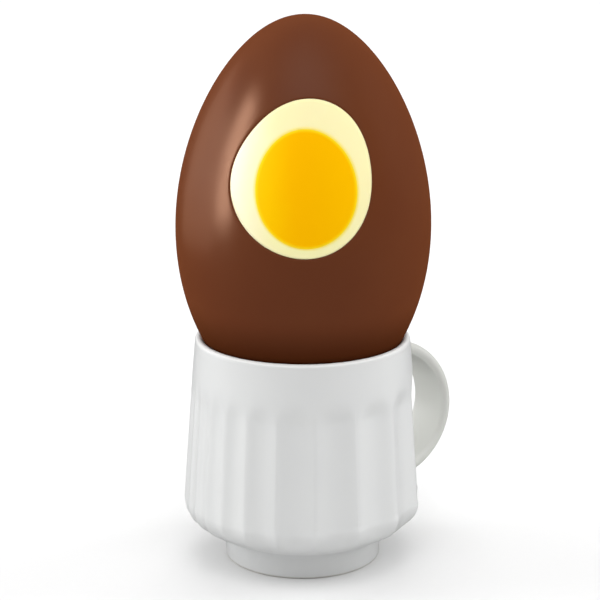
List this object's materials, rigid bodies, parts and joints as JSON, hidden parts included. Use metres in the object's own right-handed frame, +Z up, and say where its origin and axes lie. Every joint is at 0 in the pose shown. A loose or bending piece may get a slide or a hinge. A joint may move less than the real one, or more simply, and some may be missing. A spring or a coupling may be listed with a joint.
{
  "type": "chocolate egg",
  "caption": "Moulded milk-chocolate egg with a cast boiled-egg motif, standing in a fluted porcelain cup with a ring handle.",
  "frame": {"origin": "on the surface that the foot stands on, under the middle of the bounding box; the cup's own axis is 3.8 mm towards -X and 1.2 mm towards -Y of it, because the handle reaches out on one side", "axes": "+Z up through the egg, -Y out of the egg's motif, +X to the right as seen from the front"},
  "size_m": [0.0704, 0.0654, 0.1374],
  "materials": {
    "porcelain": "clear gloss glaze on white porcelain",
    "milk_chocolate": "milk chocolate with the soft gloss of a polished mould",
    "white_chocolate": "cream-white chocolate, soft gloss",
    "yolk_chocolate": "yolk-yellow coloured white chocolate, soft gloss"
  },
  "bodies": {
    "root": {"cup": "porcelain", "egg_shell": "milk_chocolate", "egg_white": "white_chocolate", "egg_yolk": "yolk_chocolate"}
  },
  "joints": []
}
